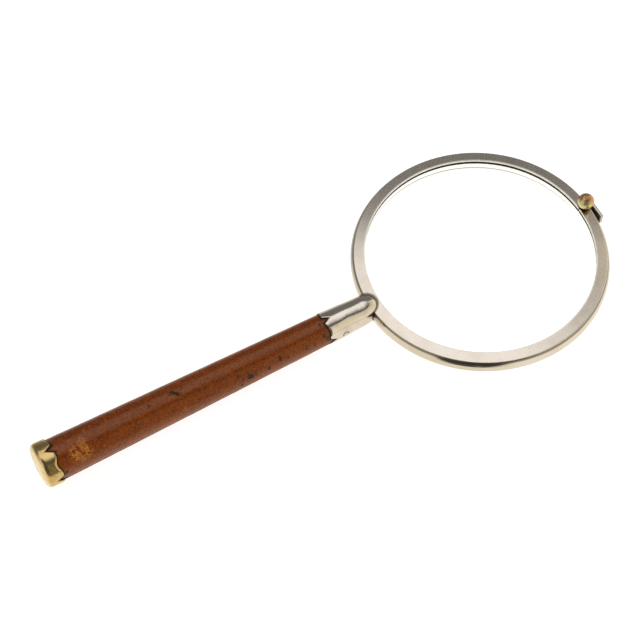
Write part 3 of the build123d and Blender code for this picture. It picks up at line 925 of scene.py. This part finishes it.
def knob_piece(material):
    """Ball on a short flared neck."""
    neck_z = knob_low.z
    centre_z = knob_high.z - KNOB_R
    outline = rounded([
        (0.82 * MM, neck_z + 0.02 * MM, 0),
        (1.5 * MM, neck_z, 0.15 * MM),
        (1.42 * MM, neck_z + 0.45 * MM, 0.3 * MM),
        (1.62 * MM, neck_z + 0.62 * MM, 0),
    ])
    start = math.asin((centre_z - neck_z - 0.62 * MM) / KNOB_R)
    ball = []
    for step in range(1, 40):
        turn = -start + (math.pi / 2 + start) * step / 40
        ball.append((KNOB_R * math.cos(turn), centre_z + KNOB_R * math.sin(turn)))
    bore_z, columns = neck_z + 2 * MM, 96
    profile = [(0.82 * MM, bore_z)] + [tuple(p) for p in outline] + ball
    loops = [[around_screw(r, z, 360 * k / columns) for k in range(columns)] for r, z in profile]
    inside, top = (Vector((KNOB.x, KNOB.y, z)) for z in (bore_z, knob_high.z))
    points, faces = closed_to(loops, inside, top)
    piece = new_piece("ball_head", points, faces, "clamp_screw", "red_brass", "ball_knob")
    piece.data.materials.append(material)


# ---------------------------------------------------------------- build
brass = brass_material()
white_metal = (rgb(219, 211, 201), rgb(186, 175, 155), (0.10, 0.20), 0.4)
nickel = metal_material("nickel_silver_polished", *white_metal)
fork = metal_material("nickel_silver_fork", *white_metal, (pin_low + pin_high) / 2)
iron = metal_material("iron_tang", rgb(120, 114, 106), rgb(66, 56, 48), (0.35, 0.6), 0.8)

leather_sleeve(leather_material())
end_cap(brass)
ring_piece(brushed_ring_material())
ferrule_piece(fork)
lens_piece(glass_material())
knob_piece(knob_material())

for node_name, material in (
    ("core", wood_material()),
    ("tang", iron),
    ("tang_pin", nickel),
    ("lens_liner", card_material()),
    ("clamp_bracket", bracket_material()),
    ("bracket_pegs", nickel),
    ("captive_washer", brass),
    ("clamp_stud", brass),
):
    mesh = frame["nodes"][node_name].data
    mesh.materials.clear()
    mesh.materials.append(material)

# ---------------------------------------------------------------- studio
CAMERA_PLACE = Vector((-0.08412, -0.353808, 0.652257))
CAMERA_AZIMUTH = math.radians(-30.002)      # 0 looks along +Y
CAMERA_ELEVATION = math.radians(57.628)
CAMERA_ROLL = math.radians(-0.169)
CAMERA_LENS = 112.5                         # mm, on a 36 mm sensor

# The table as metal mirrors it: middle, half lengths and tilt of its lit and its shaded part.
LIT_MIDDLE, LIT_SIZE = (0.12, -0.06), (0.20, 0.10)
SHADE_MIDDLE, SHADE_SIZE, SHADE_TILT_DEG = (0.019, -0.248), (0.185, 0.10), 54
FAR_SIDE = (0.01, 0.05)                     # where the table turns dimmer, along Y

# Lights as (from, to, softness). The overhead light is measured on a plane 1 m up, square to
# the camera. The cards are measured in degrees: azimuth from -Y towards +X, and height.
OVERHEAD_RIGHT, OVERHEAD_AWAY = (-0.85, 0.46, 0.22), (-0.17, 0.84, 0.14)
CARD_HEIGHT, CARD_RIGHT, CARD_LEFT = (-12, 48, 4), (12, 115, 4), (-120, -62, 5)
OVERHEAD_COLOR = (1.24, 1.22, 1.19, 1.0)
CARD_RIGHT_COLOR, CARD_LEFT_COLOR = (1.0, 0.91, 0.72), (0.80, 0.73, 0.58, 1.0)
ROOM_NEAR, ROOM_FAR = (0.12, 0.12, 0.115, 1.0), (0.20, 0.20, 0.195, 1.0)
SEEN_IN_GLASS, SEEN_DIRECTLY = (0.9, 0.9, 0.9, 1.0), (1.1, 1.1, 1.1, 1.0)


def camera():
    """The camera: it looks down at the lens from the handle's near side."""
    back = Vector((
        math.sin(CAMERA_AZIMUTH) * math.cos(CAMERA_ELEVATION),
        -math.cos(CAMERA_AZIMUTH) * math.cos(CAMERA_ELEVATION),
        math.sin(CAMERA_ELEVATION),
    ))
    right = Vector((math.cos(CAMERA_AZIMUTH), math.sin(CAMERA_AZIMUTH), 0))
    turned = Matrix((right, back.cross(right), back)).transposed()
    data = bpy.data.cameras.new("camera")
    data.lens = CAMERA_LENS
    data.sensor_width = 36
    shot = bpy.data.objects.new("camera", data)
    roll = Matrix.Rotation(-CAMERA_ROLL, 3, "Z")
    shot.matrix_world = Matrix.Translation(CAMERA_PLACE) @ (turned @ roll).to_4x4()
    bpy.context.scene.collection.objects.link(shot)
    bpy.context.scene.camera = shot


def floor():
    """A pale table on which the cap and the clamp's bracket rest."""
    low_cap = Vector((CAP_TIP / 2, 0, -CAP_R))
    low_ring = Vector((RING_X + SCREW_R, 0, bracket_low.z))
    slope = (low_ring.z - low_cap.z) / (low_ring.x - low_cap.x)
    middle_x, half, gap = 0.12, 3.0, 0.05 * MM
    middle = Vector((middle_x, 0, low_cap.z + slope * (middle_x - low_cap.x) - gap))
    corners = []
    for side_x, side_y in ((-1, -1), (1, -1), (1, 1), (-1, 1)):
        corners.append(middle + Vector((side_x * half, side_y * half, side_x * half * slope)))
    mesh = bpy.data.meshes.new("table")
    mesh.from_pydata(corners, [], [(0, 1, 2, 3)])
    table = bpy.data.objects.new("table", mesh)
    bpy.context.scene.collection.objects.link(table)
    m = Material("table_white", Roughness=0.8, Specular_IOR_Level=0.1)
    # The metal mirrors a cream table, lit most near the object and shaded towards the camera;
    # seen directly the table is white.
    mirrored = m.steps(m.patch(m.place, LIT_MIDDLE, LIT_SIZE), 0.8, 2.0, 1.06, 0.5)
    shade = m.patch(m.place, SHADE_MIDDLE, SHADE_SIZE, SHADE_TILT_DEG)
    mirrored = m.math("MULTIPLY", mirrored, m.steps(shade, 0.9, 1.1, 0.07, 1.0))
    mirrored = m.math("MULTIPLY", mirrored, m.steps(m.xyz()["Y"], *FAR_SIDE, 1.0, 0.6))
    path = m.node("ShaderNodeLightPath").outputs
    in_metal = m.math("SUBTRACT", path["Is Glossy Ray"], path["Is Transmission Ray"], clamp=True)
    glow = m.between(in_metal, 0.9, mirrored)
    m.tree.links.new(glow, m.shader.inputs["Emission Strength"])
    cream = m.blend(in_metal, (1.0, 1.0, 1.0, 1.0), (1.0, 0.945, 0.83, 1.0))
    m.tree.links.new(cream, m.shader.inputs["Emission Color"])
    paper = m.blend(m.noise(900, 3.0), rgb(166, 166, 166), rgb(170, 170, 170))
    mesh.materials.append(m.finish(m.blend(in_metal, paper, (0.0, 0.0, 0.0, 1.0))))


def band(graph, value, low, high, soft):
    """1 where the value lies between low and high, falling off smoothly at both."""
    rise = graph.steps(value, low - soft, low + soft)
    fall = graph.steps(value, high - soft, high + soft, 1.0, 0.0)
    return graph.math("MULTIPLY", rise, fall)


def card(graph, azimuth, climb, sides):
    """1 on a card that stands between two azimuths, as high as CARD_HEIGHT says."""
    height = band(graph, climb, *(math.radians(degrees) for degrees in CARD_HEIGHT))
    across = band(graph, azimuth, *(math.radians(degrees) for degrees in sides))
    return graph.math("MULTIPLY", height, across)


def world():
    """A dim grey room, with a wide soft light overhead and a cream card on each side of the camera.

    The camera and the glass see a plain white room instead.
    """
    room = bpy.data.worlds.new("room")
    room.use_nodes = True
    g = Graph(room.node_tree, "Generated")
    split = g.xyz()
    up = g.math("MAXIMUM", split["Z"], 0.01)
    side, ahead = math.cos(CAMERA_AZIMUTH), -math.sin(CAMERA_AZIMUTH)
    u = g.math("DIVIDE", split["X"], up)
    v = g.math("DIVIDE", split["Y"], up)
    right = g.math("SUBTRACT", g.math("MULTIPLY", u, side), g.math("MULTIPLY", v, ahead))
    away = g.math("ADD", g.math("MULTIPLY", u, ahead), g.math("MULTIPLY", v, side))
    overhead = g.math("MULTIPLY", band(g, right, *OVERHEAD_RIGHT), band(g, away, *OVERHEAD_AWAY))
    azimuth = g.math("ARCTAN2", split["X"], g.math("MULTIPLY", split["Y"], -1.0))
    climb = g.math("ARCSINE", split["Z"])
    color = g.blend(g.steps(split["Y"], -0.2, 0.5), ROOM_NEAR, ROOM_FAR)
    color = g.blend(overhead, color, OVERHEAD_COLOR)
    # The right card is a little dimmer towards its top.
    fade = g.steps(climb, math.radians(10), math.radians(46), 1.08, 0.86)
    inputs = {0: CARD_RIGHT_COLOR, "Scale": fade}
    cream = g.node("ShaderNodeVectorMath", inputs, operation="SCALE").outputs[0]
    color = g.blend(card(g, azimuth, climb, CARD_RIGHT), color, cream)
    color = g.blend(card(g, azimuth, climb, CARD_LEFT), color, CARD_LEFT_COLOR)
    path = g.node("ShaderNodeLightPath").outputs
    seen = g.math("MAXIMUM", path["Is Camera Ray"], path["Is Transmission Ray"])
    color = g.blend(seen, color, SEEN_IN_GLASS)
    color = g.blend(path["Is Camera Ray"], color, SEEN_DIRECTLY)
    background = room.node_tree.nodes["Background"]
    room.node_tree.links.new(color, background.inputs["Color"])
    bpy.context.scene.world = room


camera()
floor()
world()
bpy.context.scene.view_settings.view_transform = "Standard"
